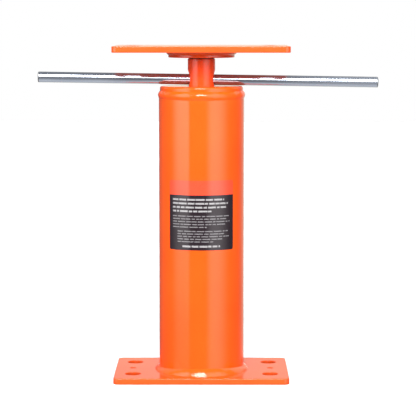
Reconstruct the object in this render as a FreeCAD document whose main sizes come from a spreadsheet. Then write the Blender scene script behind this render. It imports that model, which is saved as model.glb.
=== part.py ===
import FreeCAD, Part
import os
import Sketcher
from FreeCAD import Vector

# Screw-jack floor post, in millimetres. The origin is the middle of the base plate's underside, on the
# axis of the post. +Z is up and the label faces -Y. The post stands screwed right down.

# Driving sizes: lengths in millimetres, angles in degrees
SIZES = {
    # Base plate and head plate, cut alike
    "plate_length": 155,
    "plate_depth": 100,
    "plate_thickness": 5.5,
    "plate_corner": 5,
    "plate_edge": 0.5,
    "bolt_hole": 14,
    "bolt_spacing_length": 122,
    "bolt_spacing_depth": 55,
    "nail_hole": 5.5,
    "nail_spacing": 124,
    # Post tube and the fillet weld at its foot
    "tube_diameter": 76,
    "tube_wall": 4,
    "tube_length": 246.9,
    "base_weld_width": 4.2,
    "base_weld_height": 6.4,
    "base_weld_crown": 0.7,
    # Threaded cap in the tube's top, and the bead round its joint
    "nut_rim_diameter": 74,
    "nut_rim_thickness": 7.9,
    "nut_rim_round": 2,
    "nut_spigot_length": 22,
    "nut_spigot_clearance": 0.2,
    "nut_chamfer": 1.2,
    "nut_counterbore": 2.5,
    "nut_counterbore_clearance": 0.4,
    "nut_weld_up": 4.2,
    "nut_weld_down": 4.1,
    "nut_weld_crown": 1.5,
    # Jack screw: threaded shank, plain stem with its cross hole, neck, and the collar that the head turns on
    "thread_diameter": 22,
    "thread_clearance": 0.25,
    "thread_length": 136,
    "thread_tip": 2,
    "relief_diameter": 16,
    "relief_length": 5,
    "screw_seat_clearance": 0.2,
    "stem_diameter": 24.4,
    "stem_length": 26.3,
    "stem_chamfer": 0.8,
    "neck_diameter": 20,
    "collar_diameter": 34,
    "collar_thickness": 2.4,
    "bar_hole_height": 8.3,
    "bar_hole_sink": 2.4,
    # Swivel ring and its weld under the head plate
    "ring_diameter": 59,
    "ring_thickness": 5,
    "ring_edge": 0.5,
    "shoulder_gap": 1.2,
    "swivel_clearance": 0.3,
    "swivel_play": 0.15,
    "ring_weld_width": 2.4,
    "ring_weld_height": 3,
    "ring_weld_crown": 0.4,
    # Turning bar, loose in the cross hole
    "bar_diameter": 9.5,
    "bar_length": 302.6,
    "bar_offset": 6,
    "bar_end_chamfer": 1,
    "bar_play": 0.75,
    "bar_seat_clearance": 0.25,
    "bar_yaw": 1,
    "bar_droop": 0.92,
    # Film label round the front of the tube
    "label_width": 62,
    "label_height": 61.4,
    "label_height_above_floor": 117.4,
    "label_thickness": 0.2,
    "label_gap": 0.05,
    "label_corner": 1.8,
    "label_turn": -90,
}

# Levels and radii that several pieces share, as formulas of the sheet
TUBE_RADIUS = "Sizes.tube_diameter / 2"
TUBE_TOP = "Sizes.plate_thickness + Sizes.tube_length"
NUT_TOP = f"{TUBE_TOP} + Sizes.nut_rim_thickness"
# The foot of the stem lies sunk in the cap's counterbore
SCREW_SEAT = f"{NUT_TOP} - Sizes.nut_counterbore + Sizes.screw_seat_clearance"
RING_UNDERSIDE = f"{SCREW_SEAT} + Sizes.stem_length + Sizes.shoulder_gap"
HEAD_UNDERSIDE = f"{RING_UNDERSIDE} + Sizes.ring_thickness"
# The ring's lip lies between the stem's shoulder and the collar
RING_LIP = "(Sizes.ring_thickness - Sizes.collar_thickness - 2 * Sizes.swivel_play)"
NECK_LENGTH = f"(Sizes.shoulder_gap + {RING_LIP} + Sizes.swivel_play)"
RING_RADIUS = "Sizes.ring_diameter / 2"
NUT_BORE_RADIUS = "(Sizes.thread_diameter / 2 + Sizes.thread_clearance)"
BAR_HOLE_RADIUS = "(Sizes.bar_diameter / 2 + Sizes.bar_play)"
# The bar lies low in its hole, clear of the hole's lower edge where it leans down
BAR_LEAN = "Sizes.stem_diameter / 2 * tan(Sizes.bar_droop * 1 deg)"
BAR_AXIS_HEIGHT = (
    f"{SCREW_SEAT} + Sizes.bar_hole_height"
    f" - (Sizes.bar_play - Sizes.bar_seat_clearance - {BAR_LEAN})"
)

# A quarter round swells over its chord by this share of its radius
QUARTER_ROUND_RISE = "(1 - sqrt(0.5))"
FILLET_FACETS, BEAD_FACETS = range(2, 4)

AXIS = "0"
# A sketch's own numbering of its axes and of the points on a line or circle
HORIZONTAL_AXIS, VERTICAL_AXIS = range(-1, -3, -1)
START, END, CENTRE = range(1, 4)
ORIGIN_POINT = (HORIZONTAL_AXIS, START)
TOUCHING = 1e-6


def fill_sheet(document):
    """The driving sizes, one aliased cell each."""
    sheet = document.addObject("Spreadsheet::Sheet", "Sizes")
    for row, (alias, value) in enumerate(SIZES.items(), start=1):
        sheet.set(f"A{row}", str(value))
        sheet.setAlias(f"A{row}", alias)
    document.recompute()
    return sheet


def new_body(document, label):
    body = document.addObject("PartDesign::Body", label)
    body.Label = label
    return body


def new_sketch(body, name, role):
    """An empty sketch on one of the body's own origin planes."""
    planes = {feature.Role: feature for feature in body.Origin.OriginFeatures}
    sketch = body.newObject("Sketcher::SketchObject", name)
    sketch.AttachmentSupport = (planes[role], [""])
    sketch.MapMode = "FlatFace"
    return sketch


def tie(sketch, direction, geometry, point, formula):
    """Hold a point at a signed distance from the sketch's origin. A leading minus is the other side."""
    place = (geometry, point)
    if formula == AXIS:
        across = VERTICAL_AXIS if direction == "DistanceX" else HORIZONTAL_AXIS
        sketch.addConstraint(Sketcher.Constraint("PointOnObject", *place, across))
        return
    ends = (*place, *ORIGIN_POINT) if formula.startswith("-") else (*ORIGIN_POINT, *place)
    distance = formula.removeprefix("-")
    value = float(sketch.evalExpression(distance))
    index = sketch.addConstraint(Sketcher.Constraint(direction, *ends, value))
    sketch.setExpression(f"Constraints[{index}]", distance)


def tie_radius(sketch, geometry, formula):
    value = float(sketch.evalExpression(formula))
    index = sketch.addConstraint(Sketcher.Constraint("Radius", geometry, value))
    sketch.setExpression(f"Constraints[{index}]", formula)


def swollen(start, end, crown, steps):
    """Corners from start to end along a side that swells to the right of its run by the crown's height."""
    run = [f"(({last}) - ({first}))" for first, last in zip(start, end)]
    length = f"sqrt({run[0]} ^ 2 + {run[1]} ^ 2)"
    corners = [start]
    for step in range(1, steps):
        share = step / steps
        rise = f"{4 * share * (1 - share)} * {crown} / {length}"
        across = f"{start[0]} + {share} * {run[0]} + {run[1]} * {rise}"
        up = f"{start[1]} + {share} * {run[1]} - {run[0]} * {rise}"
        corners.append((f"({across})", f"({up})"))
    return corners + [end]


def draw_outline(sketch, corners):
    """A closed straight-sided outline through corners given as formulas."""
    points = [Vector(*(float(sketch.evalExpression(formula)) for formula in corner)) for corner in corners]
    following = points[1:] + points[:1]
    sides = [sketch.addGeometry(Part.LineSegment(*ends)) for ends in zip(points, following)]
    for side, next_side in zip(sides, sides[1:] + sides[:1]):
        sketch.addConstraint(Sketcher.Constraint("Coincident", side, END, next_side, START))
    for side, (across, up) in zip(sides, corners):
        tie(sketch, "DistanceX", side, START, across)
        tie(sketch, "DistanceY", side, START, up)


def turn_profile(body, corners, axis="V_Axis"):
    """A full turn of an outline drawn in the XZ plane."""
    sketch = new_sketch(body, f"{body.Label}_profile", "XZ_Plane")
    draw_outline(sketch, corners)
    turned = body.newObject("PartDesign::Revolution", f"{body.Label}_turned")
    turned.Profile = sketch
    turned.ReferenceAxis = (sketch, [axis])
    return turned


def edges_where(feature, test):
    return [f"Edge{number}" for number, edge in enumerate(feature.Shape.Edges, start=1) if test(edge)]


def dress(body, kind, base, test, size, formula):
    """A fillet or chamfer on the edges of base that pass the test."""
    body.Document.recompute()
    feature = body.newObject(f"PartDesign::{kind}", f"{base.Name}_{kind.lower()}")
    feature.Base = (base, edges_where(base, test))
    feature.setExpression(size, formula)
    return feature


def pocket_through(body, sketch, **options):
    """A cut right through the body. A cut that takes nothing away is an error."""
    body.Document.recompute()
    before = body.Shape.Volume
    pocket = body.newObject("PartDesign::Pocket", f"{sketch.Name}_cut")
    pocket.Profile = sketch
    pocket.Type = "ThroughAll"
    for option, value in options.items():
        setattr(pocket, option, value)
    body.Document.recompute()
    if body.Shape.Volume >= before - TOUCHING:
        raise RuntimeError(f"{pocket.Name} cuts nothing")
    return pocket


def is_upright(edge):
    return edge.BoundBox.XLength < TOUCHING and edge.BoundBox.YLength < TOUCHING


def is_level(edge):
    return edge.BoundBox.ZLength < TOUCHING


def add_plate_outline(body):
    """The plate's rectangle, centred on the post."""
    sketch = new_sketch(body, f"{body.Label}_outline", "XY_Plane")
    across = "Sizes.plate_length / 2"
    along = "Sizes.plate_depth / 2"
    corners = [(f"-{across}", f"-{along}"), (across, f"-{along}"), (across, along), (f"-{across}", along)]
    draw_outline(sketch, corners)
    pad = body.newObject("PartDesign::Pad", f"{body.Label}_pad")
    pad.Profile = sketch
    pad.setExpression("Length", "Sizes.plate_thickness")
    return pad


def add_hole(sketch, radius, across, along):
    centre = [float(sketch.evalExpression(formula)) for formula in (across, along)]
    size = float(sketch.evalExpression(radius))
    circle = sketch.addGeometry(Part.Circle(Vector(*centre), Vector(0, 0, 1), size))
    tie(sketch, "DistanceX", circle, CENTRE, across)
    tie(sketch, "DistanceY", circle, CENTRE, along)
    tie_radius(sketch, circle, radius)


def make_plate(document, label):
    """A flat-bar plate with four bolt holes and two nail holes."""
    body = new_body(document, label)
    pad = add_plate_outline(body)
    cornered = dress(body, "Fillet", pad, is_upright, "Radius", "Sizes.plate_corner")
    dress(body, "Chamfer", cornered, is_level, "Size", "Sizes.plate_edge")
    holes = new_sketch(body, f"{label}_holes", "XY_Plane")
    for side in ("", "-"):
        for edge in ("", "-"):
            across = f"{side}Sizes.bolt_spacing_length / 2"
            along = f"{edge}Sizes.bolt_spacing_depth / 2"
            add_hole(holes, "Sizes.bolt_hole / 2", across, along)
        add_hole(holes, "Sizes.nail_hole / 2", f"{side}Sizes.nail_spacing / 2", AXIS)
    pocket_through(body, holes, Reversed=True)
    return body


def make_base_plate(document):
    return make_plate(document, "base_plate")


def make_top_plate(document):
    body = make_plate(document, "top_plate")
    body.setExpression("Placement.Base.z", HEAD_UNDERSIDE)
    return body


def make_post_tube(document):
    body = new_body(document, "post_tube")
    bore = f"({TUBE_RADIUS} - Sizes.tube_wall)"
    length = "Sizes.tube_length"
    turn_profile(body, [(bore, AXIS), (TUBE_RADIUS, AXIS), (TUBE_RADIUS, length), (bore, length)])
    body.setExpression("Placement.Base.z", "Sizes.plate_thickness")
    return body


def make_base_weld(document):
    """Fillet weld round the tube's foot, with a slightly swollen face."""
    body = new_body(document, "base_weld")
    toe = (f"{TUBE_RADIUS} + Sizes.base_weld_width", AXIS)
    top = (TUBE_RADIUS, "Sizes.base_weld_height")
    root = (TUBE_RADIUS, AXIS)
    turn_profile(body, swollen(toe, top, "Sizes.base_weld_crown", FILLET_FACETS) + [root])
    body.setExpression("Placement.Base.z", "Sizes.plate_thickness")
    return body


def make_head_nut(document):
    """Threaded cap: a rim over the tube's end, a spigot inside it and a counterbore for the stem."""
    body = new_body(document, "head_nut")
    spigot = f"({TUBE_RADIUS} - Sizes.tube_wall - Sizes.nut_spigot_clearance)"
    rim = "Sizes.nut_rim_diameter / 2"
    top = "(Sizes.nut_spigot_length + Sizes.nut_rim_thickness)"
    counterbore = "(Sizes.stem_diameter / 2 + Sizes.nut_counterbore_clearance)"
    floor = f"{top} - Sizes.nut_counterbore"
    rim_side = (rim, f"({top} - Sizes.nut_rim_round)")
    rim_top = (f"({rim} - Sizes.nut_rim_round)", top)
    corners = [
        (NUT_BORE_RADIUS, AXIS),
        (f"{spigot} - Sizes.nut_chamfer", AXIS),
        (spigot, "Sizes.nut_chamfer"),
        (spigot, "Sizes.nut_spigot_length"),
        (rim, "Sizes.nut_spigot_length"),
        *swollen(rim_side, rim_top, f"{QUARTER_ROUND_RISE} * Sizes.nut_rim_round", FILLET_FACETS),
        (counterbore, top),
        (counterbore, floor),
        (NUT_BORE_RADIUS, floor),
    ]
    turn_profile(body, corners)
    body.setExpression("Placement.Base.z", f"{TUBE_TOP} - Sizes.nut_spigot_length")
    return body


def make_nut_weld(document):
    """Bead that closes the joint between the cap's rim and the tube's end."""
    body = new_body(document, "nut_weld")
    rim = "Sizes.nut_rim_diameter / 2"
    seam = "Sizes.nut_weld_down"
    foot = (TUBE_RADIUS, AXIS)
    top = (rim, f"{seam} + Sizes.nut_weld_up")
    face = swollen(foot, top, "Sizes.nut_weld_crown", BEAD_FACETS)
    turn_profile(body, face + [(rim, seam), (TUBE_RADIUS, seam)])
    body.setExpression("Placement.Base.z", f"{TUBE_TOP} - {seam}")
    return body


def sink_mouths(body, hole_height):
    """Countersinks where the cross hole comes out of the stem, turned about the hole's own axis."""
    sketch = new_sketch(body, "bar_hole_sinks", "XZ_Plane")
    sketch.setExpression("AttachmentOffset.Base.y", hole_height)
    bottom = "(Sizes.stem_diameter / 2 - Sizes.bar_hole_sink)"
    outside = "(Sizes.stem_diameter / 2 + Sizes.bar_hole_sink)"
    wide = f"({BAR_HOLE_RADIUS} + 2 * Sizes.bar_hole_sink)"
    for side in ("", "-"):
        corners = [(bottom, AXIS), (outside, AXIS), (outside, wide), (bottom, BAR_HOLE_RADIUS)]
        draw_outline(sketch, [(f"{side}{across}", up) for across, up in corners])
    groove = body.newObject("PartDesign::Groove", "bar_hole_sinks_cut")
    groove.Profile = sketch
    groove.ReferenceAxis = (sketch, ["H_Axis"])


def make_jack_screw(document):
    """One turned piece: shank, thread relief, stem with its cross hole, neck, and the collar on top."""
    body = new_body(document, "jack_screw")
    thread = "Sizes.thread_diameter / 2"
    relief = "Sizes.relief_diameter / 2"
    stem = "Sizes.stem_diameter / 2"
    neck = "Sizes.neck_diameter / 2"
    collar = "Sizes.collar_diameter / 2"
    seat = "Sizes.thread_length"
    shoulder = f"({seat} + Sizes.stem_length)"
    neck_top = f"({shoulder} + {NECK_LENGTH})"
    top = f"({neck_top} + Sizes.collar_thickness)"
    corners = [
        (AXIS, AXIS),
        (f"{thread} - Sizes.thread_tip", AXIS),
        (thread, "Sizes.thread_tip"),
        (thread, f"{seat} - Sizes.relief_length"),
        (relief, f"{seat} - Sizes.relief_length"),
        (relief, seat),
        (stem, seat),
        (stem, f"{shoulder} - Sizes.stem_chamfer"),
        (f"{stem} - Sizes.stem_chamfer", shoulder),
        (neck, shoulder),
        (neck, neck_top),
        (collar, neck_top),
        (collar, top),
        (AXIS, top),
    ]
    turn_profile(body, corners)
    hole_height = f"{seat} + Sizes.bar_hole_height"
    cross = new_sketch(body, "bar_hole", "YZ_Plane")
    add_hole(cross, BAR_HOLE_RADIUS, AXIS, hole_height)
    pocket_through(body, cross, Midplane=True)
    sink_mouths(body, hole_height)
    foot = f"vector(0; 0; {SCREW_SEAT} - {seat})"
    body.setExpression("Placement", f"placement({foot}; rotation(Sizes.bar_yaw; 0; 0))")
    return body


def make_swivel_ring(document):
    """Ring that traps the screw's collar under the head plate."""
    body = new_body(document, "swivel_ring")
    bore = "(Sizes.neck_diameter / 2 + Sizes.swivel_clearance)"
    pocket = "(Sizes.collar_diameter / 2 + Sizes.swivel_clearance)"
    top = "Sizes.ring_thickness"
    corners = [
        (bore, AXIS),
        (f"{RING_RADIUS} - Sizes.ring_edge", AXIS),
        (RING_RADIUS, "Sizes.ring_edge"),
        (RING_RADIUS, top),
        (pocket, top),
        (pocket, RING_LIP),
        (bore, RING_LIP),
    ]
    turn_profile(body, corners)
    body.setExpression("Placement.Base.z", RING_UNDERSIDE)
    return body


def make_ring_weld(document):
    """Small fillet weld between the ring's edge and the head plate."""
    body = new_body(document, "ring_weld")
    height = "Sizes.ring_weld_height"
    foot = (RING_RADIUS, AXIS)
    toe = (f"{RING_RADIUS} + Sizes.ring_weld_width", height)
    root = (RING_RADIUS, height)
    turn_profile(body, swollen(foot, toe, "Sizes.ring_weld_crown", FILLET_FACETS) + [root])
    body.setExpression("Placement.Base.z", f"{HEAD_UNDERSIDE} - {height}")
    return body


def make_turning_bar(document):
    """Plain round bar with chamfered ends, pushed through the stem off its middle."""
    body = new_body(document, "turning_bar")
    radius = "Sizes.bar_diameter / 2"
    chamfer = "Sizes.bar_end_chamfer"
    left = "(Sizes.bar_length / 2 - Sizes.bar_offset"
    right = "(Sizes.bar_length / 2 + Sizes.bar_offset"
    corners = [
        (f"-{left})", AXIS),
        (f"{right})", AXIS),
        (f"{right})", f"{radius} - {chamfer}"),
        (f"{right} - {chamfer})", radius),
        (f"-{left} - {chamfer})", radius),
        (f"-{left})", f"{radius} - {chamfer}"),
    ]
    turn_profile(body, corners, axis="H_Axis")
    middle = f"vector(0; 0; {BAR_AXIS_HEIGHT})"
    lean = "rotation(Sizes.bar_yaw; Sizes.bar_droop; 0)"
    body.setExpression("Placement", f"placement({middle}; {lean})")
    return body


def make_label(document):
    """Film label that follows the tube's front, with rounded corners."""
    body = new_body(document, "label")
    inner = f"({TUBE_RADIUS} + Sizes.label_gap)"
    outer = f"({inner} + Sizes.label_thickness)"
    height = "Sizes.label_height"
    turned = turn_profile(body, [(inner, AXIS), (outer, AXIS), (outer, height), (inner, height)])
    turned.Midplane = True
    turned.setExpression("Angle", f"Sizes.label_width / {outer} * 1 rad")
    film = float(turned.evalExpression("Sizes.label_thickness"))

    def is_corner(edge):
        return is_level(edge) and abs(edge.Length - film) < TOUCHING

    dress(body, "Fillet", turned, is_corner, "Radius", "Sizes.label_corner")
    middle = "vector(0; 0; Sizes.label_height_above_floor)"
    body.setExpression("Placement", f"placement({middle}; rotation(Sizes.label_turn; 0; 0))")
    return body


def check(document, pieces):
    """Every object is up to date and every piece is one valid solid."""
    for item in document.Objects:
        if "Invalid" in item.State or "Error" in item.State:
            raise RuntimeError(f"{item.Name} failed: {item.State}")
    for piece in pieces:
        if piece.Shape.isNull() or not piece.Shape.isValid():
            raise RuntimeError(f"{piece.Label} has no valid shape")
        if len(piece.Shape.Solids) != 1:
            raise RuntimeError(f"{piece.Label} has {len(piece.Shape.Solids)} solids")


MAKERS = (
    make_base_plate,
    make_post_tube,
    make_base_weld,
    make_head_nut,
    make_nut_weld,
    make_label,
    make_jack_screw,
    make_turning_bar,
    make_swivel_ring,
    make_ring_weld,
    make_top_plate,
)


def main():
    document = FreeCAD.newDocument("jack_post")
    fill_sheet(document)
    pieces = [make(document) for make in MAKERS]
    document.recompute()
    check(document, pieces)
    os.makedirs("parts", exist_ok=True)
    for piece in pieces:
        piece.Shape.exportStep(f"parts/{piece.Label}.step")


main()
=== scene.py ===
import math
import random

import bmesh
import bpy
from mathutils import Matrix, Vector


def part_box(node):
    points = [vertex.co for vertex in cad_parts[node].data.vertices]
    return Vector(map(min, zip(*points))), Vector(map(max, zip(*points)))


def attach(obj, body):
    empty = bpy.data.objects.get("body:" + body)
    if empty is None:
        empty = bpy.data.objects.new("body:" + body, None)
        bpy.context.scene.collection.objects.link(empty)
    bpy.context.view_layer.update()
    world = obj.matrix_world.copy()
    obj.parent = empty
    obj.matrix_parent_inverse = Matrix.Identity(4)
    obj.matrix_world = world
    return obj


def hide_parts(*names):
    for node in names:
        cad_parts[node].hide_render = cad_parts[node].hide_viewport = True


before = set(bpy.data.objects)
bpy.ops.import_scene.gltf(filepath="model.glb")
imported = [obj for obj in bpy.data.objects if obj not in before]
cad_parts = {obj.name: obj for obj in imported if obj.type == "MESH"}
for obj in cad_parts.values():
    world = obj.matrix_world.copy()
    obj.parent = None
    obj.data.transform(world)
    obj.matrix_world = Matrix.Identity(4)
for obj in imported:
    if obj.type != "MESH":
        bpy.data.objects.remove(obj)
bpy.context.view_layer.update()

# Screw-jack floor post: gloss orange enamel over welded steel, a plated turning bar and a film label.
# Shapes are worked out in millimetres and go into Blender in metres.

MM = 0.001
FULL_TURN = 2 * math.pi
QUARTER_TURN = math.pi / 2
DEGREES = 180 / math.pi
WHITE = (1, 1, 1)

# Camera, as in the photograph, with its near and far limits in metres
SENSOR = 36
LENS = 154.3
CAMERA_PLACE = (11.2, -1590, 318.7)
CAMERA_PITCH = 6.023
CAMERA_YAW = 0.195
CAMERA_NEAR = 0.05
CAMERA_FAR = 20

# Angles in degrees from which an edge is shaded as sharp
SHARP = 38
WELD_SHARP = 60
THREAD_SHARP = 50

# Plates
PLATE_CORNER = 5
PLATE_CORNER_STEPS = 10
PLATE_ROUND = 0.6
HOLE_ROUND = 0.5
HOLE_ROUND_STEPS = 4
BOLT_X = 61
BOLT_Y = 27.5
BOLT_RADIUS = 7
BOLT_SEGMENTS = 48
NAIL_X = 62
NAIL_RADIUS = 2.75
NAIL_SEGMENTS = 32

# Tube, cap and swivel ring
TUBE_WALL = 4
TUBE_SEGMENTS = 256
CAP_BORE = 11.25
CAP_SPIGOT = 33.8
CAP_LEAD = 1.2
CAP_RIM_FLOOR = 252.4
CAP_ROUND = 2
COUNTERBORE_RADIUS = 12.6
COUNTERBORE_DEPTH = 2.5
COUNTERBORE_ROUND = 0.3
RING_BORE = 10.3
RING_BORE_ROUND = 0.25
RING_ROUND = 0.7
RING_POCKET = 17.3
RING_LIP = 2.3
RING_SEGMENTS = 192

# Welds, with how far a bead's toe, swell, lumps and ripples vary
WELD_SEGMENTS = 720
WELD_STEPS = 12
TOE_SWING = 0.2
SWELL_SWING = 0.25
LUMP_SLANT = 0.12
RIPPLE_DEPTH = 0.012
RIPPLE_DRIFT = 2.2
RIPPLE_BOW = 2

# Screw and bar, with what the thread still stands over its root at the tip and at the relief
THREAD_RADIUS = 11
THREAD_ROOT = 8.25
THREAD_PITCH = 5
THREAD_TOP = 253
TIP_STEP = 0.75
RELIEF_STEP = 1.2
RELIEF_RADIUS = 8
SEAT = 258
STEM_RADIUS = 12.2
STEM_ROUND_STEPS = 4
STEM_FOOT_ROUND = 0.4
SHOULDER = 284.3
SHOULDER_ROUND = 0.4
NECK_FOOT_RADIUS = 11.5
NECK_FOOT_TOP = 285.35
NECK_RADIUS = 10
NECK_TOP = 287.95
COLLAR_RADIUS = 17
SCREW_TOP = 290.35
CROSS_HEIGHT = 266.3
CROSS_RADIUS = 5.5
CROSS_SINK = 2.4
CROSS_ROUND = 0.45
BAR_YAW = 1
BAR_DROOP = 0.92
BAR_HEIGHT = 265.996
BAR_RADIUS = 4.75
BAR_LEFT = -145.3
BAR_RIGHT = 157.3
BAR_ROUND = 1
BAR_METALLIC = 0.93

# The thread's section over one pitch, as shares of the pitch and of the depth
THREAD_SECTION = [
    (0, 0),
    (0.34, 0),
    (0.36, 0.04),
    (0.475, 0.93),
    (0.495, 1),
    (0.835, 1),
    (0.855, 0.93),
    (0.98, 0.04),
]

# Label: a red header over a dark field with plain bars where the rows of print were
LABEL_WIDTH = 62
LABEL_CORNER = 1.8
LABEL_CORNER_CUTS = (0.1, 0.35, 0.7, 1.2, LABEL_CORNER)
LABEL_COLUMNS = 124
LABEL_UNDERSIDE = 38.04
LABEL_SEED = 5
HEADER_DEPTH = 12.85
RED, DARK, BOLD, FINE = range(4)
PARAGRAPHS = [
    # depth of the first row's top, pitch, row height, ink, left margin, right margin of each row
    (16.0, 3.4, 1.5, BOLD, 4, (10, 6, 8, 22)),
    (30.9, 2.4, 0.9, FINE, 4, (5, 7, 4, 9, 26)),
    (44.2, 2.3, 0.9, FINE, 9, (6, 10, 5, 12, 20)),
    (57.2, 0, 1.6, BOLD, 14, (14,)),
]
FIRST_WORD = (3, 8)
NEXT_WORD = (3, 9)
WORD_GAP = 0.9

# Studio: bearings and heights in degrees, where bearing 0 is the front and 90 the right
FLOOR_REACH = 4000
AMBIENT = 0.18
SOFT_BOXES = [
    # radiance; bearings, then heights, at which the window starts, is full, falls off and ends
    # high window in front, and the weak strip under it
    (20.5, (-21, -16, 11, 16), (21, 27, 46, 54)),
    (1.8, (-21, -16, 11, 16), (8, 15, 21, 27)),
    # left and right windows
    (3.0, (-92, -58, -36, -31), (-15, 1, 40, 60)),
    (2.3, (9, 30, 42, 85), (-25, 0, 40, 60)),
    # faint windows behind, on the left and on the right
    (0.6, (-170, -150, -110, -95), (6, 20, 70, 85)),
    (1.1, (95, 110, 150, 170), (6, 20, 70, 85)),
]

# Low backdrop behind the post, which starts at one bearing and is full at another on each side
BACKDROP_RADIANCE = 0.85
BACKDROP_COLOUR = (1, 0.96, 0.8)
BACKDROP_RIGHT = (112, 170)
BACKDROP_LEFT = (166, 179)
BACKDROP_HEIGHTS = (-60, -40, 4, 22)

# Light from the ground, with the degrees below the horizon at which it starts and is full
GROUND_RADIANCE = 0.7
GROUND_DEPTHS = (14, 80)

# Soft lamp, with its size in metres and its power in watts
LAMP_PLACE = (-20, -600, 540)
LAMP_TILT = 58
LAMP_SIZE = 0.4
LAMP_POWER = 5.2

# The usual reach of a noise value
NOISE_LOW = 0.3
NOISE_HIGH = 0.7

# Materials of a face of a plate, of the stem and of the bar, by their numbers
FLAT, CUT, DRILLED = range(3)
PAINTED, BARE_AND_SHADED = range(2)
PLATED, SAWN = range(2)

# Sockets of the Mix node when it mixes colours
MIX_SHARE = 0
MIX_FIRST = 6
MIX_SECOND = 7
MIX_RESULT = 2


# Node helpers

def add_node(tree, kind, inputs=None, **settings):
    """Add a node. Each input is a value or another node's socket."""
    made = tree.nodes.new(kind)
    for key, value in settings.items():
        setattr(made, key, value)
    for key, value in (inputs or {}).items():
        if isinstance(value, bpy.types.NodeSocket):
            tree.links.new(value, made.inputs[key])
        else:
            made.inputs[key].default_value = value
    return made


def calc(tree, operation, *values):
    return add_node(tree, "ShaderNodeMath", dict(enumerate(values)), operation=operation).outputs[0]


def smooth_step(tree, value, start, end):
    inputs = {"Value": value, "From Min": start, "From Max": end}
    return add_node(tree, "ShaderNodeMapRange", inputs, interpolation_type="SMOOTHSTEP").outputs[0]


def window(tree, value, rise, top, fall, end):
    """One between top and fall, nothing before rise and after end, and smooth slopes between."""
    dropped = calc(tree, "SUBTRACT", 1, smooth_step(tree, value, fall, end))
    return calc(tree, "MULTIPLY", smooth_step(tree, value, rise, top), dropped)


def spread(tree, value, low, high):
    """Map a noise value from its usual reach to low to high."""
    inputs = {"Value": value, "From Min": NOISE_LOW, "From Max": NOISE_HIGH, "To Min": low, "To Max": high}
    return add_node(tree, "ShaderNodeMapRange", inputs).outputs[0]


def noise(tree, coordinates, size, detail=2, stretch=(1, 1, 1)):
    """Noise whose grains are about size millimetres across, stretched along the coordinates' axes."""
    scale = [1 / factor for factor in stretch]
    stretched = add_node(tree, "ShaderNodeMapping", {"Vector": coordinates, "Scale": scale})
    inputs = {"Vector": stretched.outputs[0], "Scale": 1 / (size * MM), "Detail": detail}
    return add_node(tree, "ShaderNodeTexNoise", inputs).outputs["Fac"]


def mix_colours(tree, share, first, second):
    made = add_node(tree, "ShaderNodeMix", {MIX_SHARE: share}, data_type="RGBA")
    made.inputs[MIX_FIRST].default_value = (*first, 1)
    made.inputs[MIX_SECOND].default_value = (*second, 1)
    return made.outputs[MIX_RESULT]


def new_material(name):
    """A material with its node tree, its shader and the coordinates of the surface."""
    material = bpy.data.materials.new(name)
    material.use_nodes = True
    tree = material.node_tree
    shader = tree.nodes["Principled BSDF"]
    where = add_node(tree, "ShaderNodeTexCoord").outputs["Object"]
    return material, tree, shader, where


def set_colour(tree, shader, share, first, second):
    tree.links.new(mix_colours(tree, share, first, second), shader.inputs["Base Color"])


def set_roughness(tree, shader, value):
    tree.links.new(value, shader.inputs["Roughness"])


def set_bump(tree, shader, height, distance, strength):
    """Bump whose height is a distance in millimetres."""
    inputs = {"Height": height, "Distance": distance * MM, "Strength": strength}
    bump = add_node(tree, "ShaderNodeBump", inputs)
    tree.links.new(bump.outputs[0], shader.inputs["Normal"])


# Materials

def make_paint(name, deep, pale, smooth, dull):
    """Enamel with a slow drift of tone, a fine speckle and a soft orange-peel skin."""
    material, tree, shader, where = new_material(name)
    drift = noise(tree, where, size=45)
    speckle = noise(tree, where, size=1.6)
    share = calc(tree, "ADD", spread(tree, drift, low=0, high=0.7), spread(tree, speckle, low=0, high=0.3))
    set_colour(tree, shader, share, deep, pale)
    set_roughness(tree, shader, spread(tree, noise(tree, where, size=9), smooth, dull))
    fine_peel = noise(tree, where, size=2.4, detail=1)
    broad_peel = noise(tree, where, size=14, detail=1)
    set_bump(tree, shader, calc(tree, "ADD", fine_peel, broad_peel), distance=0.02, strength=0.5)
    return material


def make_shaded_cut_edge():
    """Enamel over a cut edge: faint streaks along the plate and a slow wave. Its tone, darker than the
    enamel on the flat faces, is painted shade.
    """
    material, tree, shader, where = new_material("orange_paint_shaded_cut_edge")
    streaks = noise(tree, where, size=1.2, stretch=(9, 9, 1))
    drift = noise(tree, where, size=24)
    share = calc(tree, "ADD", spread(tree, drift, low=0, high=0.6), spread(tree, streaks, low=0, high=0.4))
    set_colour(tree, shader, share, (0.64, 0.063, 0.01), (0.7, 0.078, 0.014))
    set_roughness(tree, shader, spread(tree, streaks, low=0.12, high=0.17))
    set_bump(tree, shader, noise(tree, where, size=5, detail=1), distance=0.02, strength=0.4)
    return material


def bar_turn():
    """The bar's own frame: X along the bar."""
    yaw = Matrix.Rotation(math.radians(BAR_YAW), 3, "Z")
    return yaw @ Matrix.Rotation(math.radians(BAR_DROOP), 3, "Y")


def bar_material(name):
    """A new metal with coordinates along the bar."""
    material, tree, shader, where = new_material(name)
    turn = bar_turn().inverted().to_euler("XYZ")
    along = add_node(tree, "ShaderNodeMapping", {"Vector": where, "Rotation": turn}).outputs[0]
    shader.inputs["Metallic"].default_value = BAR_METALLIC
    return material, tree, shader, along


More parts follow.
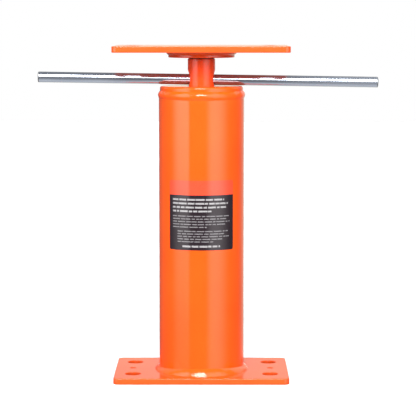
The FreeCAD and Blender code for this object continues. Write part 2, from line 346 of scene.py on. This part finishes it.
def make_plating():
    """Bright zinc on drawn bar: streaks along it, a little clouding, and a duller end where it is held."""
    held_from = 30
    held_full = 130
    held_dulling = 0.15
    held_smoothing = 0.7
    material, tree, shader, along = bar_material("bar_plating")
    streaks = noise(tree, along, size=1.3, detail=3, stretch=(22, 1, 1))
    clouds = noise(tree, along, size=14, detail=3)
    share = spread(tree, streaks, low=0, high=1)
    set_colour(tree, shader, share, (0.4, 0.445, 0.53), (0.51, 0.555, 0.635))
    reach = add_node(tree, "ShaderNodeSeparateXYZ", {0: along}).outputs["X"]
    held = smooth_step(tree, reach, held_from * MM, held_full * MM)
    streaked = spread(tree, streaks, low=0, high=0.05)
    clouded = spread(tree, clouds, low=0.1, high=0.14)
    handled = calc(tree, "MULTIPLY", held, held_dulling)
    set_roughness(tree, shader, calc(tree, "ADD", calc(tree, "ADD", streaked, clouded), handled))
    ridges = noise(tree, along, size=2.2, detail=3, stretch=(16, 1, 1))
    left_over = calc(tree, "MULTIPLY_ADD", held, -held_smoothing, 1)
    set_bump(tree, shader, calc(tree, "MULTIPLY", ridges, left_over), distance=0.07, strength=0.6)
    return material


def make_sawn_steel():
    """Sawn end of the bar: dull grey with fine saw lines."""
    material, tree, shader, along = bar_material("bar_sawn_end")
    lines = noise(tree, along, size=0.6, stretch=(1, 12, 1))
    share = spread(tree, lines, low=0, high=1)
    set_colour(tree, shader, share, (0.16, 0.165, 0.175), (0.32, 0.33, 0.34))
    set_roughness(tree, shader, spread(tree, lines, low=0.35, high=0.55))
    set_bump(tree, shader, lines, distance=0.06, strength=0.7)
    return material


def make_turned_steel(name, dark, light, smooth, dull):
    """Turned steel under a film of oil or grease: dark, with tool lines round the screw. The neck's copy is
    darker still, as painted shade.
    """
    material, tree, shader, where = new_material(name)
    lines = noise(tree, where, size=0.5, stretch=(8, 8, 1))
    film = noise(tree, where, size=11, detail=3)
    shader.inputs["Metallic"].default_value = 1
    set_colour(tree, shader, spread(tree, film, low=0, high=1), dark, light)
    set_roughness(tree, shader, spread(tree, film, smooth, dull))
    set_bump(tree, shader, lines, distance=0.03, strength=0.6)
    return material


def make_film(name, dark, light, rough):
    """Printed film: even ink with a fine grain and a soft gloss."""
    rough_swing = 0.07
    material, tree, shader, where = new_material(name)
    grain = noise(tree, where, size=0.7)
    set_colour(tree, shader, spread(tree, grain, low=0, high=1), dark, light)
    set_roughness(tree, shader, spread(tree, noise(tree, where, size=6), rough, rough + rough_swing))
    set_bump(tree, shader, noise(tree, where, size=5, detail=1), distance=0.02, strength=0.4)
    return material


def make_inks():
    """The label's inks, in the order of their numbers."""
    return [
        make_film("label_red", (0.6, 0.048, 0.02), (0.66, 0.057, 0.026), rough=0.1),
        make_film("label_dark", (0.011, 0.0065, 0.009), (0.017, 0.011, 0.0145), rough=0.1),
        make_film("label_bold", (0.21, 0.203, 0.208), (0.28, 0.272, 0.278), rough=0.12),
        make_film("label_fine", (0.115, 0.109, 0.114), (0.155, 0.148, 0.154), rough=0.12),
    ]


def make_floor_material():
    material, tree, shader, where = new_material("floor_pale")
    set_colour(tree, shader, noise(tree, where, size=120), (0.84, 0.84, 0.84), (0.87, 0.87, 0.87))
    shader.inputs["Roughness"].default_value = 0.9
    return material


paint = make_paint(
    "orange_paint", deep=(0.76, 0.062, 0.0035), pale=(0.83, 0.076, 0.005), smooth=0.1, dull=0.15
)
# The tube and cap take a darker copy of the same enamel; its darker tone is painted shade.
shaded_tube_paint = make_paint(
    "orange_paint_shaded_tube", deep=(0.63, 0.062, 0.0035), pale=(0.69, 0.076, 0.005), smooth=0.1, dull=0.15
)
screw_paint = make_paint(
    "orange_paint_screw", deep=(0.72, 0.059, 0.005), pale=(0.8, 0.071, 0.007), smooth=0.2, dull=0.26
)
# A darker copy of the enamel for the plates' hole walls: painted shade inside the holes.
shaded_hole_paint = make_paint(
    "orange_paint_shaded_holes", deep=(0.36, 0.032, 0.0026), pale=(0.42, 0.042, 0.004), smooth=0.2, dull=0.28
)
# A darker copy of the enamel for the plates' cut faces: painted shade.
shaded_cut_edge = make_shaded_cut_edge()
thread_steel = make_turned_steel(
    "oiled_thread", dark=(0.17, 0.155, 0.14), light=(0.34, 0.325, 0.305), smooth=0.2, dull=0.42
)
# Greased bare steel for the neck, collar and relief, darkened to near black as painted shade in the gap
# under the swivel ring.
shaded_neck_steel = make_turned_steel(
    "greased_neck_painted_shade", dark=(0.035, 0.026, 0.022), light=(0.075, 0.06, 0.05), smooth=0.4, dull=0.55
)


# Mesh helpers

def node_box(node):
    low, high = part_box(node)
    return low / MM, high / MM


def polar(radius, turn, height):
    return Vector((radius * math.cos(turn), radius * math.sin(turn), height))


def circle(radius, height, segments, start=0, centre=(0, 0)):
    points = []
    for segment in range(segments):
        turn = start + FULL_TURN * segment / segments
        x = centre[0] + radius * math.cos(turn)
        y = centre[1] + radius * math.sin(turn)
        points.append(Vector((x, y, height)))
    return points


def rounded(corners, steps=6, guard=0.3):
    """Closed outline through (across, up, radius) corners, each rounded by its own radius."""
    outline = []
    for index, (across, up, radius) in enumerate(corners):
        corner = Vector((across, up))
        if not radius:
            outline.append(corner)
            continue
        before = (Vector(corners[index - 1][:2]) - corner).normalized()
        after = (Vector(corners[(index + 1) % len(corners)][:2]) - corner).normalized()
        half = before.angle(after) / 2
        reach = radius / math.tan(half)
        centre = corner + (before + after).normalized() * radius / math.sin(half)
        first = corner + before * reach - centre
        last = corner + after * reach - centre
        sweep = math.atan2(first.cross(last), first.dot(last))
        outline.append(corner + before * (reach + guard))
        for step in range(steps + 1):
            outline.append(centre + Matrix.Rotation(sweep * step / steps, 2) @ first)
        outline.append(corner + after * (reach + guard))
    return [tuple(point) for point in outline]


def round_edge(radius, steps):
    """(inset, drop) from a face over its rounded edge to the side."""
    leans = [QUARTER_TURN * step / steps for step in range(steps + 1)]
    return [(radius * (1 - math.sin(lean)), radius * (1 - math.cos(lean))) for lean in leans]


def bridge(bm, rings, looped=False):
    """Quads between rings of points. Gives back the rings' vertices."""
    made = [[bm.verts.new(point) for point in ring] for ring in rings]
    following = made[1:] + made[:1] if looped else made[1:]
    for ring, below in zip(made, following):
        for index in range(len(ring)):
            after = (index + 1) % len(ring)
            bm.faces.new((ring[index], ring[after], below[after], below[index]))
    return made


def lathe(bm, profile, segments):
    """Turn a closed profile of (radius, height) about Z."""
    bridge(bm, [circle(radius, height, segments) for radius, height in profile], looped=True)


def wobble(seed, waves):
    """A smooth closed wave round the post, between -1 and 1."""
    least_size = 0.5
    rng = random.Random(seed)
    terms = [(count, rng.uniform(least_size, 1), rng.uniform(0, FULL_TURN)) for count in waves]
    total = sum(size for _, size, _ in terms)
    return lambda turn: sum(size * math.sin(count * turn + start) for count, size, start in terms) / total


def finish_mesh(name, bm, materials, sharp=SHARP):
    """Make an object in metres from a mesh in millimetres."""
    bmesh.ops.recalc_face_normals(bm, faces=bm.faces)
    mesh = bpy.data.meshes.new(name)
    bm.to_mesh(mesh)
    bm.free()
    mesh.transform(Matrix.Scale(MM, 4))
    for material in materials:
        mesh.materials.append(material)
    mesh.polygons.foreach_set("use_smooth", [True] * len(mesh.polygons))
    mesh.set_sharp_from_angle(angle=math.radians(sharp))
    made = bpy.data.objects.new(name, mesh)
    bpy.context.scene.collection.objects.link(made)
    return made


def add_painted(name, bm, body, node, sharp=SHARP, materials=(paint,)):
    piece = finish_mesh(name, bm, materials, sharp)
    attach(piece, body)
    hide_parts(node)


# Plates

def edge_path(low, high, radius, steps=6, guard=0.5):
    """(inset, height) from the top face over the rounded edges and down to the bottom face."""
    over = [(radius + guard, 0)] + round_edge(radius, steps)
    path = [(inset, high - drop) for inset, drop in over]
    return path + [(inset, low + drop) for inset, drop in reversed(over)]


def plate_ring(half_length, half_depth, inset, height):
    """The plate's outline, drawn in by an inset."""
    corners = []
    for across, along in ((1, -1), (1, 1), (-1, 1), (-1, -1)):
        corners.append((across * (half_length - inset), along * (half_depth - inset), PLATE_CORNER - inset))
    return [Vector((x, y, height)) for x, y in rounded(corners, PLATE_CORNER_STEPS)]


def plate_holes():
    """(place, radius, segments) of every hole in a plate."""
    bolts = [(side * BOLT_X, edge * BOLT_Y) for side in (-1, 1) for edge in (-1, 1)]
    nails = [(side * NAIL_X, 0) for side in (-1, 1)]
    holes = [(place, BOLT_RADIUS, BOLT_SEGMENTS) for place in bolts]
    return holes + [(place, NAIL_RADIUS, NAIL_SEGMENTS) for place in nails]


def mark_upright(bm, index):
    """Give every upright face that has no material of its own yet the material at index."""
    upright_limit = 0.3
    for face in bm.faces:
        face.normal_update()
        if face.material_index == FLAT and abs(face.normal.z) < upright_limit:
            face.material_index = index


def make_plate(name, node, body):
    """Walls with rounded edges round the outline and the holes, then the top and bottom between them."""
    low, high = node_box(node)
    bm = bmesh.new()
    outer_path = edge_path(low.z, high.z, PLATE_ROUND)
    hole_path = edge_path(low.z, high.z, HOLE_ROUND, HOLE_ROUND_STEPS)
    walls = [bridge(bm, [plate_ring(high.x, high.y, inset, z) for inset, z in outer_path])]
    # Cut faces take the darker cut-edge enamel, as painted shade.
    mark_upright(bm, CUT)
    for place, radius, segments in plate_holes():
        rings = [circle(radius + inset, z, segments, centre=place) for inset, z in hole_path]
        walls.append(bridge(bm, rings))
    # Hole walls take the darker hole enamel, as painted shade.
    mark_upright(bm, DRILLED)
    for side in (0, -1):
        edges = []
        for wall in walls:
            ring = wall[side]
            edges += [bm.edges.get((ring[index - 1], ring[index])) for index in range(len(ring))]
        bmesh.ops.triangle_fill(bm, use_beauty=True, edges=edges)
    add_painted(name, bm, body, node, materials=(paint, shaded_cut_edge, shaded_hole_paint))


# Tube, cap and swivel ring

def make_turned(name, node, body, corners, segments, materials=(paint,)):
    bm = bmesh.new()
    lathe(bm, rounded(corners), segments)
    add_painted(name, bm, body, node, materials=materials)


def make_tube():
    low, high = node_box("post_tube")
    inner = high.x - TUBE_WALL
    corners = [(inner, low.z, 0), (high.x, low.z, 0), (high.x, high.z, 0), (inner, high.z, 0)]
    # The tube's darker enamel is painted shade.
    make_turned("tube_painted", "post_tube", "post", corners, TUBE_SEGMENTS, (shaded_tube_paint,))


def make_cap():
    """Spigot in the tube, rim over the tube's end, and a counterbore for the stem's foot."""
    low, high = node_box("head_nut")
    counterbore_floor = high.z - COUNTERBORE_DEPTH
    corners = [
        (CAP_BORE, low.z, 0),
        (CAP_SPIGOT - CAP_LEAD, low.z, 0),
        (CAP_SPIGOT, low.z + CAP_LEAD, 0),
        (CAP_SPIGOT, CAP_RIM_FLOOR, 0),
        (high.x, CAP_RIM_FLOOR, 0),
        (high.x, high.z, CAP_ROUND),
        (COUNTERBORE_RADIUS, high.z, COUNTERBORE_ROUND),
        (COUNTERBORE_RADIUS, counterbore_floor, 0),
        (CAP_BORE, counterbore_floor, 0),
    ]
    # The cap's darker enamel is painted shade.
    make_turned("cap_painted", "head_nut", "post", corners, TUBE_SEGMENTS, (shaded_tube_paint,))


def make_swivel_ring():
    """A lip under the screw's collar, and a pocket in which the collar turns."""
    low, high = node_box("swivel_ring")
    lip_top = low.z + RING_LIP
    corners = [
        (RING_BORE, low.z, RING_BORE_ROUND),
        (high.x, low.z, RING_ROUND),
        (high.x, high.z, 0),
        (RING_POCKET, high.z, 0),
        (RING_POCKET, lip_top, 0),
        (RING_BORE, lip_top, 0),
    ]
    make_turned("swivel_ring_painted", "swivel_ring", "head", corners, RING_SEGMENTS)


# Welds

toe_drift = wobble(seed=7, waves=(3, 5, 9, 14))


def front_and_back(turn):
    """One at the front and back, and minus one at the sides."""
    return math.cos(2 * (turn + QUARTER_TURN))


def make_bead(name, node, body, foot, head, roots, crown, lumps, ripples, seed):
    """A weld round the post: a swollen face from foot to head, with slow lumps and faint ripples."""
    swell = wobble(seed, waves=(2, 3, 5, 8))
    lump = wobble(seed + 1, waves=(11, 17, 26, 37))
    drift = wobble(seed + 2, waves=(2, 3, 7, 11))

    def lift(turn, share, arch):
        """How far the face's middle stands out from the straight line between foot and head."""
        ripple = math.sin(ripples * turn + RIPPLE_DRIFT * drift(turn) + RIPPLE_BOW * arch)
        swollen = crown * (1 + SWELL_SWING * swell(turn)) + lumps * lump(turn + LUMP_SLANT * share)
        return swollen + RIPPLE_DEPTH * ripple

    rings = []
    for share in (step / WELD_STEPS for step in range(WELD_STEPS + 1)):
        arch = math.sin(math.pi * share)
        ring = []
        for turn in (FULL_TURN * segment / WELD_SEGMENTS for segment in range(WELD_SEGMENTS)):
            start = Vector(foot(turn))
            run = Vector(head(turn)) - start
            out = Vector((run.y, -run.x)).normalized()
            radius, height = start + run * share + out * lift(turn, share, arch) * arch
            ring.append(polar(radius, turn, height))
        rings.append(ring)
    rings += [circle(radius, height, WELD_SEGMENTS) for radius, height in roots]
    bm = bmesh.new()
    bridge(bm, rings, looped=True)
    add_painted(name, bm, body, node, WELD_SHARP)


def make_base_weld():
    """Fillet at the tube's foot, tallest at the front and back and lowest on the left."""
    toe_radius = 42
    underside = 5.45
    tube_side = 37.95
    middle_height = 10.37
    front_rise = 1.5
    right_rise = 0.46
    root_radius = 37.6
    root_top = 8

    def foot(turn):
        return toe_radius + TOE_SWING * toe_drift(turn), underside

    def head(turn):
        return tube_side, middle_height + front_rise * front_and_back(turn) + right_rise * math.cos(turn)

    roots = [(root_radius, root_top), (root_radius, underside)]
    make_bead(
        "base_weld_bead", "base_weld", "post", foot, head, roots,
        crown=0.55, lumps=0.22, ripples=74, seed=11,
    )


def make_cap_weld():
    """Bead between tube and cap. Its foot sags a little at the front and back."""
    tube_side = 37.97
    foot_height = 248.9
    front_sag = 0.4
    cap_side = 36.95
    head_height = 256.3
    root_radius = 36.5
    root_top = 255.6
    root_bottom = 250.2

    def foot(turn):
        return tube_side, foot_height - front_sag * front_and_back(turn)

    def head(turn):
        return cap_side, head_height + TOE_SWING * toe_drift(turn)

    roots = [(root_radius, root_top), (root_radius, root_bottom)]
    make_bead(
        "cap_weld_bead", "nut_weld", "post", foot, head, roots,
        crown=1.3, lumps=0.2, ripples=66, seed=23,
    )


def make_ring_weld():
    """Fillet between swivel ring and head plate."""
    ring_side = 29.45
    foot_height = 287.7
    toe_radius = 31.7
    plate_side = 290.52
    root_radius = 29.1
    root_bottom = 288.1

    def foot(turn):
        return ring_side, foot_height + TOE_SWING * toe_drift(turn)

    def head(turn):
        return toe_radius + TOE_SWING * toe_drift(turn), plate_side

    roots = [(root_radius, plate_side), (root_radius, root_bottom)]
    make_bead(
        "ring_weld_bead", "ring_weld", "head", foot, head, roots,
        crown=0.35, lumps=0.12, ripples=58, seed=37,
    )


# Screw

def half_skin(wide, tall, low, high):
    """(turn, height) once round the edge of half of the stem's skin."""
    points = [(-QUARTER_TURN + math.pi * step / wide, low) for step in range(wide)]
    points += [(QUARTER_TURN, low + (high - low) * step / tall) for step in range(tall)]
    points += [(QUARTER_TURN - math.pi * step / wide, high) for step in range(wide)]
    points += [(-QUARTER_TURN, high - (high - low) * step / tall) for step in range(tall)]
    return points


def soft_corner(before, corner, after):
    """Points along a curve that cuts the corner."""
    steps = 4
    curve = []
    for share in (step / steps for step in range(steps + 1)):
        curve.append(before.lerp(corner, share).lerp(corner.lerp(after, share), share))
    return curve


def mouth_path(slant, room_below):
    """(reach, out) over the cross hole's countersunk mouth, along one slant, from the bore to the skin."""
    level = math.cos(slant) ** 2
    sink_start = STEM_RADIUS - CROSS_SINK
    apex = sink_start - CROSS_RADIUS
    reach = math.sqrt(apex ** 2 - (1 + level) * (apex ** 2 - STEM_RADIUS ** 2)) - apex
    reach /= 1 + level
    if slant < 0:
        reach = min(reach, -room_below / math.sin(slant) - CROSS_ROUND)

    def on_skin(distance):
        return Vector((distance, math.sqrt(STEM_RADIUS ** 2 - level * distance ** 2)))

    bore = Vector((CROSS_RADIUS, sink_start))
    rim = on_skin(reach)
    slope = (rim - bore).normalized() * CROSS_ROUND
    inner = soft_corner(bore - Vector((0, CROSS_ROUND)), bore, bore + slope)
    return inner + soft_corner(rim - slope, rim, on_skin(reach + CROSS_ROUND))


def mouth_rings(edge):
    """Rings from the cross hole's bore, over its countersunk mouth and out to the edge of the half skin."""
    skin_steps = 8
    margin = 0.1
    room_below = CROSS_HEIGHT - edge[0][1] - margin
    paths = []
    for turn, height in edge:
        slant = math.atan2(height - CROSS_HEIGHT, STEM_RADIUS * turn)
        path = mouth_path(slant, room_below)
        tilt = Vector((math.cos(slant), math.sin(slant)))
        paths.append([Vector((out, reach * tilt.x, CROSS_HEIGHT + reach * tilt.y)) for reach, out in path])
    rings = [list(ring) for ring in zip(*paths)]
    rim = [(math.asin(point.y / STEM_RADIUS), point.z) for point in rings[-1]]
    for share in (step / skin_steps for step in range(1, skin_steps + 1)):
        ring = []
        for (turn, height), (rim_turn, rim_height) in zip(edge, rim):
            at_turn = rim_turn + (turn - rim_turn) * share
            at_height = rim_height + (height - rim_height) * share
            ring.append(polar(STEM_RADIUS, at_turn, at_height))
        rings.append(ring)
    return rings


def pierced_skin(bm, wide, tall):
    """The stem's skin with the cross hole through it, between its rounded foot and its shoulder."""
    edge = half_skin(wide, tall, SEAT + STEM_FOOT_ROUND, SHOULDER - SHOULDER_ROUND)
    mouths = []
    for side in (0, math.pi):
        flip = Matrix.Rotation(side, 3, "Z")
        rings = [[flip @ point for point in ring] for ring in mouth_rings(edge)]
        mouths.append(bridge(bm, rings)[0])
    near, far = mouths
    count = len(edge)
    for index in range(count):
        after = (index + 1) % count
        bm.faces.new((near[index], near[after], far[(wide - after) % count], far[(wide - index) % count]))


def make_stem():
    """Relief, stem with its cross hole, neck and collar."""
    wide = 48
    tall = 14
    thread_overlap = 0.2
    merge_distance = 0.001
    paint_margin = 0.1
    bm = bmesh.new()
    pierced_skin(bm, wide, tall)
    foot_edge = reversed(round_edge(STEM_FOOT_ROUND, STEM_ROUND_STEPS))
    foot = [(STEM_RADIUS - inset, SEAT + drop) for inset, drop in foot_edge]
    foot += [(RELIEF_RADIUS, SEAT), (RELIEF_RADIUS, THREAD_TOP - thread_overlap)]
    crown_edge = reversed(round_edge(SHOULDER_ROUND, STEM_ROUND_STEPS))
    crown = [(STEM_RADIUS - inset, SHOULDER - drop) for inset, drop in crown_edge]
    crown += [(NECK_FOOT_RADIUS, SHOULDER), (NECK_FOOT_RADIUS, NECK_FOOT_TOP), (NECK_RADIUS, NECK_FOOT_TOP)]
    crown += [(NECK_RADIUS, NECK_TOP), (COLLAR_RADIUS, NECK_TOP), (COLLAR_RADIUS, SCREW_TOP)]
    for path in (foot, crown):
        rings = [circle(radius, height, 2 * wide, -QUARTER_TURN) for radius, height in path]
        bm.faces.new(bridge(bm, rings)[-1])
    bmesh.ops.remove_doubles(bm, verts=bm.verts, dist=merge_distance)
    bmesh.ops.rotate(bm, verts=bm.verts, matrix=Matrix.Rotation(math.radians(BAR_YAW), 3, "Z"))
    # Faces outside the painted stem take the near-black greased steel, which is partly painted shade in the
    # gap under the ring.
    for face in bm.faces:
        middle = face.calc_center_median().z
        painted = SEAT - paint_margin < middle < SHOULDER + paint_margin
        face.material_index = PAINTED if painted else BARE_AND_SHADED
    add_painted("screw_stem_painted", bm, "screw", "jack_screw", materials=(screw_paint, shaded_neck_steel))


def thread_radius(turn, height, tip):
    """Radius of the shank at a turn and height, cut back at its tip and at the relief."""
    share = (height / THREAD_PITCH - turn / FULL_TURN) % 1
    depth = 0
    points = THREAD_SECTION + [(1, 0)]
    for (first, first_depth), (last, last_depth) in zip(points, points[1:]):
        if first <= share <= last:
            depth = first_depth + (last_depth - first_depth) * (share - first) / (last - first)
            break
    cut_back_at_tip = THREAD_ROOT + TIP_STEP + height - tip
    cut_back_at_relief = THREAD_ROOT + RELIEF_STEP + THREAD_TOP - height
    return min(THREAD_ROOT + (THREAD_RADIUS - THREAD_ROOT) * depth, cut_back_at_tip, cut_back_at_relief)


def thread_columns(bm, per_turn, tip):
    """Vertices of the thread's section at each step of the helix. Spare turns end up flat."""
    spare_below = 1
    spare_turns = 3
    first_turn = math.floor(tip / THREAD_PITCH) - spare_below
    turns = math.ceil((THREAD_TOP - tip) / THREAD_PITCH) + spare_turns
    columns = []
    for step in range(turns * per_turn + 1):
        turn = FULL_TURN * step / per_turn
        column = []
        for share, _ in THREAD_SECTION:
            height = THREAD_PITCH * (first_turn + step / per_turn + share)
            height = min(max(height, tip), THREAD_TOP)
            column.append(bm.verts.new(polar(thread_radius(turn, height, tip), turn, height)))
        columns.append(column)
    return columns


def make_thread():
    """Right-hand trapezoidal thread on the shank."""
    per_turn = 64
    merge_distance = 0.004
    least_edge = 0.002
    bm = bmesh.new()
    columns = thread_columns(bm, per_turn, node_box("jack_screw")[0].z)
    for step, column in enumerate(columns[:-1]):
        following = columns[step + 1]
        for index in range(len(THREAD_SECTION) - 1):
            bm.faces.new((column[index], following[index], following[index + 1], column[index + 1]))
        if step + 1 + per_turn < len(columns):
            upper = columns[step + per_turn][0]
            upper_following = columns[step + per_turn + 1][0]
            bm.faces.new((column[-1], following[-1], upper_following, upper))
    bmesh.ops.remove_doubles(bm, verts=bm.verts, dist=merge_distance)
    bmesh.ops.dissolve_degenerate(bm, edges=bm.edges, dist=least_edge)
    open_edges = [edge for edge in bm.edges if edge.is_boundary]
    bmesh.ops.holes_fill(bm, edges=open_edges, sides=0)
    piece = finish_mesh("screw_thread", bm, [thread_steel], THREAD_SHARP)
    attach(piece, "screw")


# Turning bar

def make_bar():
    """Round bar with rounded ends, made upright and then laid through the stem."""
    segments = 96
    steps = 5
    guard = 0.3
    end = round_edge(BAR_ROUND, steps) + [(0, BAR_ROUND + guard)]
    path = [(BAR_RADIUS - inset, BAR_LEFT + drop) for inset, drop in end]
    path += [(BAR_RADIUS - inset, BAR_RIGHT - drop) for inset, drop in reversed(end)]
    bm = bmesh.new()
    rings = bridge(bm, [circle(radius, along, segments) for radius, along in path])
    bm.faces.new(rings[0])
    bm.faces.new(rings[-1])
    for face in bm.faces:
        middle = face.calc_center_median().z
        plated = BAR_LEFT + BAR_ROUND < middle < BAR_RIGHT - BAR_ROUND
        face.material_index = PLATED if plated else SAWN
    upright_to_along = Matrix.Rotation(QUARTER_TURN, 3, "Y")
    bmesh.ops.rotate(bm, verts=bm.verts, matrix=bar_turn() @ upright_to_along)
    bmesh.ops.translate(bm, verts=bm.verts, vec=(0, 0, BAR_HEIGHT))
    piece = finish_mesh("turning_bar_plated", bm, [make_plating(), make_sawn_steel()])
    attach(piece, "bar")
    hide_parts("turning_bar")


# Label

def word_gaps(rng, left, right):
    """Distances along a row at which a short gap falls."""
    gaps = []
    at = left + rng.uniform(*FIRST_WORD)
    while at < right:
        gaps.append(at)
        at += rng.uniform(*NEXT_WORD)
    return gaps


def print_rows():
    """(top, bottom, ink, left end, right end, gaps) of every row."""
    rng = random.Random(LABEL_SEED)
    rows = []
    for first_top, pitch, height, ink, left, right_margins in PARAGRAPHS:
        for index, right_margin in enumerate(right_margins):
            top = first_top + index * pitch
            right = LABEL_WIDTH - right_margin
            rows.append((top, top + height, ink, left, right, word_gaps(rng, left, right)))
    return rows


def ink_at(rows, across, down):
    """The ink's number at a place on the label."""
    if down < HEADER_DEPTH:
        return RED
    for top, bottom, ink, left, right, gaps in rows:
        if top < down < bottom and left < across < right:
            in_gap = any(gap <= across < gap + WORD_GAP for gap in gaps)
            return DARK if in_gap else ink
    return DARK


def label_cuts(rows, depth):
    """Depths at which the label's grid has a line, for its ends, corners, header and rows."""
    cuts = {0, depth, HEADER_DEPTH}
    for step in LABEL_CORNER_CUTS:
        cuts |= {step, depth - step}
    for top, bottom, *_ in rows:
        cuts |= {top, bottom}
    return sorted(cuts)


def label_sheet(bm, radius, head, cuts):
    """Lines of vertices round the tube, from the label's head down, narrower at its rounded corners."""
    sheet = []
    for down in cuts:
        from_end = min(down, cuts[-1] - down, LABEL_CORNER)
        inset = LABEL_CORNER - math.sqrt(LABEL_CORNER ** 2 - (LABEL_CORNER - from_end) ** 2)
        line = []
        for column in range(LABEL_COLUMNS + 1):
            across = (column / LABEL_COLUMNS - 0.5) * (LABEL_WIDTH - 2 * inset)
            turn = across / LABEL_UNDERSIDE - QUARTER_TURN
            line.append(bm.verts.new(polar(radius, turn, head - down)))
        sheet.append(line)
    return sheet


def make_label():
    """Film with a printed front and a plain back, closed along its four sides."""
    low, high = node_box("label")
    outside = max(-low.y, high.x)
    rows = print_rows()
    cuts = label_cuts(rows, high.z - low.z)
    bm = bmesh.new()
    front = label_sheet(bm, outside, high.z, cuts)
    back = label_sheet(bm, LABEL_UNDERSIDE, high.z, cuts)
    for sheet in (front, back):
        for line, below, top, bottom in zip(sheet, sheet[1:], cuts, cuts[1:]):
            for column in range(LABEL_COLUMNS):
                face = bm.faces.new((line[column], line[column + 1], below[column + 1], below[column]))
                across = (column + 0.5) * LABEL_WIDTH / LABEL_COLUMNS
                face.material_index = ink_at(rows, across, (top + bottom) / 2) if sheet is front else DARK
    sides = [
        ([line[0] for line in front], [line[0] for line in back]),
        ([line[-1] for line in front], [line[-1] for line in back]),
        (front[0], back[0]),
        (front[-1], back[-1]),
    ]
    for upper, under in sides:
        for index in range(len(upper) - 1):
            face = bm.faces.new((upper[index], upper[index + 1], under[index + 1], under[index]))
            face.material_index = DARK
    piece = finish_mesh("label_printed", bm, make_inks())
    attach(piece, "post")
    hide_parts("label")


# Floor, light and camera

def make_floor():
    """Pale floor that throws no light back, as the photograph's white ground doesn't."""
    corners = ((-1, -1), (1, -1), (1, 1), (-1, 1))
    bm = bmesh.new()
    bm.faces.new([bm.verts.new((x * FLOOR_REACH, y * FLOOR_REACH, 0)) for x, y in corners])
    floor = finish_mesh("studio_floor", bm, [make_floor_material()])
    floor.visible_glossy = False
    floor.visible_diffuse = False
    floor.visible_shadow = False


def studio_light(tree):
    """Strength and colour of the light from each direction."""
    direction = add_node(tree, "ShaderNodeTexCoord").outputs["Generated"]
    parts = add_node(tree, "ShaderNodeSeparateXYZ", {0: direction}).outputs
    ahead = calc(tree, "MULTIPLY", parts["Y"], -1)
    bearing = calc(tree, "MULTIPLY", calc(tree, "ARCTAN2", parts["X"], ahead), DEGREES)
    height = calc(tree, "MULTIPLY", calc(tree, "ARCSINE", parts["Z"]), DEGREES)
    total = AMBIENT
    for radiance, bearings, heights in SOFT_BOXES:
        share = calc(tree, "MULTIPLY", window(tree, bearing, *bearings), window(tree, height, *heights))
        total = calc(tree, "MULTIPLY_ADD", share, radiance, total)
    behind_left = smooth_step(tree, calc(tree, "MULTIPLY", bearing, -1), *BACKDROP_LEFT)
    behind = calc(tree, "ADD", smooth_step(tree, bearing, *BACKDROP_RIGHT), behind_left)
    share = calc(tree, "MULTIPLY", behind, window(tree, height, *BACKDROP_HEIGHTS))
    total = calc(tree, "MULTIPLY_ADD", share, BACKDROP_RADIANCE, total)
    colour = mix_colours(tree, share, WHITE, BACKDROP_COLOUR)
    below = smooth_step(tree, calc(tree, "MULTIPLY", height, -1), *GROUND_DEPTHS)
    return calc(tree, "MULTIPLY_ADD", below, GROUND_RADIANCE, total), colour


def make_world():
    """The studio lights the post, and the camera sees plain white beyond the floor."""
    world = bpy.data.worlds.new("studio")
    world.use_nodes = True
    bpy.context.scene.world = world
    tree = world.node_tree
    tree.nodes.clear()
    strength, colour = studio_light(tree)
    seen = add_node(tree, "ShaderNodeLightPath").outputs["Is Camera Ray"]
    light = add_node(tree, "ShaderNodeBackground", {"Color": colour, "Strength": strength})
    shown = add_node(tree, "ShaderNodeBackground", {"Color": (*WHITE, 1), "Strength": 1})
    either = add_node(tree, "ShaderNodeMixShader", {0: seen, 1: light.outputs[0], 2: shown.outputs[0]})
    output = add_node(tree, "ShaderNodeOutputWorld")
    tree.links.new(either.outputs[0], output.inputs["Surface"])


def make_lamp():
    """Soft lamp high in front, near enough to light the head more than the foot. It isn't reflected."""
    data = bpy.data.lights.new("high_lamp", "AREA")
    data.size = LAMP_SIZE
    data.energy = LAMP_POWER
    lamp = bpy.data.objects.new("high_lamp", data)
    lamp.location = Vector(LAMP_PLACE) * MM
    lamp.rotation_euler = (math.radians(LAMP_TILT), 0, 0)
    lamp.visible_glossy = False
    lamp.visible_camera = False
    bpy.context.scene.collection.objects.link(lamp)


def make_camera():
    data = bpy.data.cameras.new("camera")
    data.sensor_width = SENSOR
    data.lens = LENS
    data.clip_start = CAMERA_NEAR
    data.clip_end = CAMERA_FAR
    camera = bpy.data.objects.new("camera", data)
    camera.location = Vector(CAMERA_PLACE) * MM
    camera.rotation_euler = (math.radians(90 - CAMERA_PITCH), 0, math.radians(CAMERA_YAW))
    bpy.context.scene.collection.objects.link(camera)
    bpy.context.scene.camera = camera


# The post
make_plate("base_plate_painted", "base_plate", "post")
make_plate("head_plate_painted", "top_plate", "head")
make_tube()
make_cap()
make_swivel_ring()
make_base_weld()
make_cap_weld()
make_ring_weld()
make_stem()
make_thread()
make_bar()
make_label()

# The studio
make_floor()
make_world()
make_lamp()
make_camera()
bpy.context.scene.view_settings.view_transform = "Standard"

bpy.context.view_layer.update()
